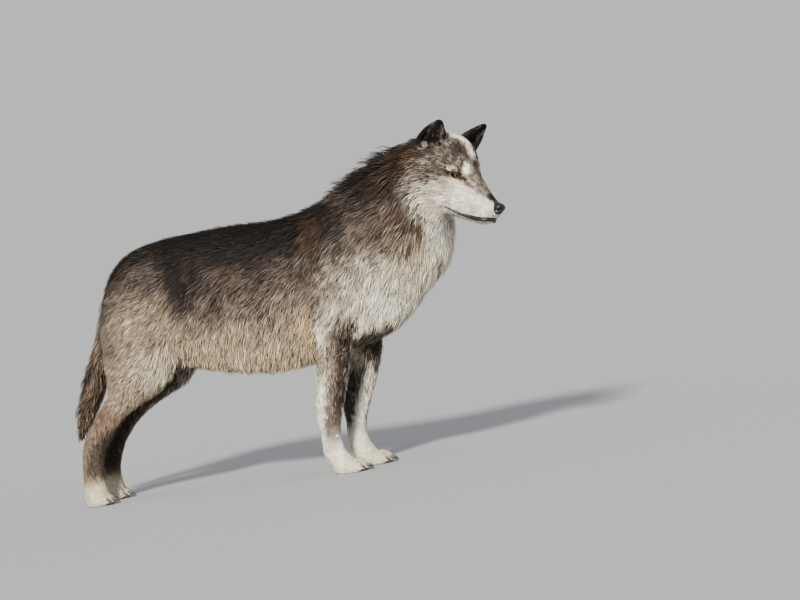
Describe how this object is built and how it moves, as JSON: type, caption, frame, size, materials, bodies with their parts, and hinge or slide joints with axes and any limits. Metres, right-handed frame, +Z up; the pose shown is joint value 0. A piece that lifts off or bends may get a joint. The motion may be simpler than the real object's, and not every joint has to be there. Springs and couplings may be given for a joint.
{
  "type": "timber wolf",
  "caption": "Life-size standing timber wolf in winter coat, head turned to its right, tail hanging, resting on its four paws.",
  "frame": {"origin": "middle of the bounding box on the floor, between the paws", "axes": "+X the way the wolf stands and walks, +Y its left side, +Z up"},
  "size_m": [1.281, 0.2778, 0.8755],
  "materials": {
    "coat_dark": "dense winter fur, matte",
    "coat_grey": "dense winter fur, matte",
    "coat_pale": "dense winter fur, matte",
    "coat_face": "short fur, matte",
    "nose_leather": "moist bare skin, satin",
    "eye": "clear wet cornea over an amber iris"
  },
  "bodies": {
    "root": {"head": "coat_face", "jaw": "coat_pale", "nose": "nose_leather", "eye_left": "eye", "eye_right": "eye", "ear_left": "coat_dark", "ear_right": "coat_dark", "neck": "coat_grey", "chest": "coat_grey", "belly": "coat_dark", "rump": "coat_dark", "tail": "coat_dark", "forearm_left": "coat_pale", "forepaw_left": "coat_pale", "shank_left": "coat_grey", "hind_paw_left": "coat_pale", "forearm_right": "coat_pale", "forepaw_right": "coat_pale", "shank_right": "coat_grey", "hind_paw_right": "coat_pale"}
  },
  "joints": []
}
